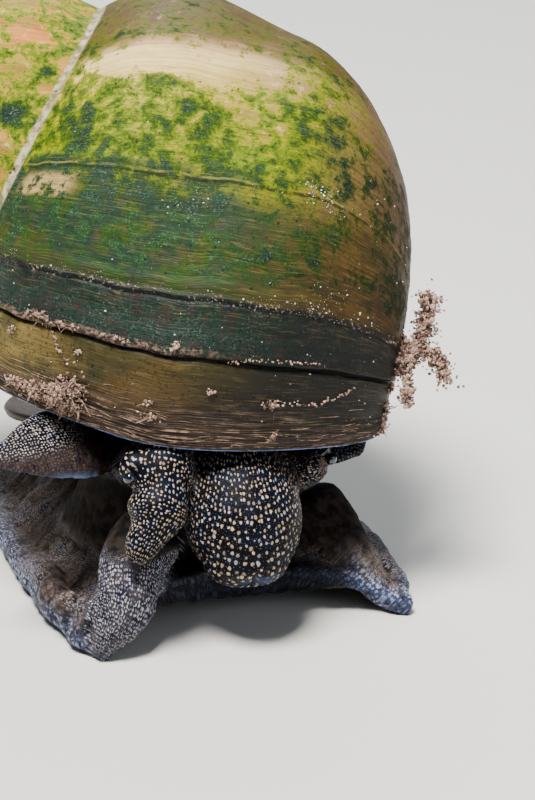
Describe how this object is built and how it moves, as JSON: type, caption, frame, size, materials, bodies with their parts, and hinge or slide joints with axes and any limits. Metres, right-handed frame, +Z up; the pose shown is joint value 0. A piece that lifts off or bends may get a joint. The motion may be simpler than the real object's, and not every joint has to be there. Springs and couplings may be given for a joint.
{
  "type": "danube river snail",
  "caption": "Life-size still model of a river snail crawling: tall rounded spiral shell over a broad foot, hanging snout, blunt tentacles, neck lobes and operculum.",
  "frame": {"origin": "bottom centre of the box, on the plane that the sole rests on", "axes": "-Y towards the head, +X to the animal's left, +Z up"},
  "size_m": [0.0345, 0.0426, 0.0352],
  "materials": {
    "shell": "satin horny shell with algae, growth lines and dark rests",
    "operculum": "horny brown plate with concentric rings",
    "mantle": "moist dark skin",
    "foot_skin": "moist grey-brown skin with pale flecks",
    "head_skin": "moist blue-black skin with cream spots",
    "eye": "glossy dark blue"
  },
  "bodies": {
    "root": {"shell": "shell", "operculum": "operculum", "mantle": "mantle", "neck": "foot_skin", "head": "head_skin", "snout": "head_skin", "tentacle_right": "head_skin", "tentacle_left": "head_skin", "eye_stalk_right": "head_skin", "eye_stalk_left": "head_skin", "eye_right": "eye", "eye_left": "eye", "neck_lobe_right": "head_skin", "neck_lobe_left": "head_skin", "foot_front": "foot_skin", "foot_middle": "foot_skin", "foot_tail": "foot_skin"}
  },
  "joints": []
}
